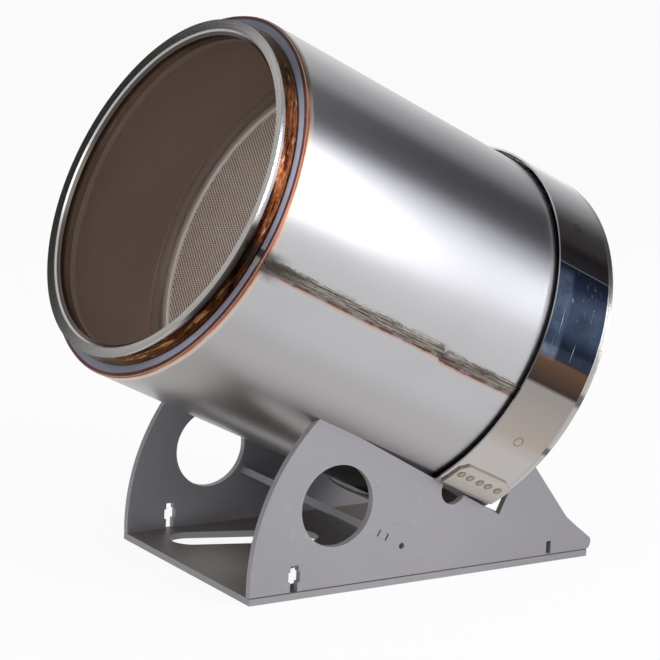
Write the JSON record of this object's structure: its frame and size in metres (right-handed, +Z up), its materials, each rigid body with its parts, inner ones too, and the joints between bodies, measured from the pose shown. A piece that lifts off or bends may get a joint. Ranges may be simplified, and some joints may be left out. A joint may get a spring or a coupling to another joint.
{
  "type": "diesel particulate filter",
  "caption": "Diesel particulate filter: brushed stainless canister with V-flanges and a honeycomb substrate, held by a polished band on a tilted grey cradle.",
  "frame": {"origin": "centre of the cradle base's underside", "axes": "+Z up, +X from the raised inlet end towards the outlet end, +Y across the cradle; the canister's axis lies in the XZ plane, its inlet raised by 25.4 degrees"},
  "size_m": [0.4698, 0.3324, 0.4715],
  "materials": {
    "shell_steel": "bright brushed stainless",
    "flange_steel": "turned stainless, satin",
    "tinted_steel": "heat-tinted stainless, brown and copper",
    "ring_steel": "heat-tinted stainless, blue-grey",
    "weld_metal": "oxidised weld bead",
    "inner_steel": "dull stainless",
    "band_polish": "mirror-polished stainless with fine scratches",
    "foot_steel": "satin stainless with spot-weld marks",
    "cradle_paint": "satin grey paint",
    "cell_ceramic": "matt porous, beige-brown",
    "mat_fibre": "matt fibre"
  },
  "bodies": {
    "root": {"inlet_flange": "flange_steel", "inlet_neck": "tinted_steel", "inlet_end_ring": "ring_steel", "inlet_edge_weld": "weld_metal", "shell": "shell_steel", "shell_seam_weld": "shell_steel", "front_retainer_ring": "inner_steel", "rear_retainer_ring": "inner_steel", "front_mesh_seal": "inner_steel", "rear_mesh_seal": "inner_steel", "support_mat": "mat_fibre", "substrate": "cell_ceramic", "outlet_end_ring": "flange_steel", "outlet_flange": "flange_steel", "holding_band": "band_polish", "band_foot_near": "foot_steel", "band_foot_far": "foot_steel", "foot_spots_near": "foot_steel", "foot_spots_far": "foot_steel", "side_plate_near": "cradle_paint", "side_plate_far": "cradle_paint", "base_plate": "cradle_paint", "cross_bar": "cradle_paint"}
  },
  "joints": []
}
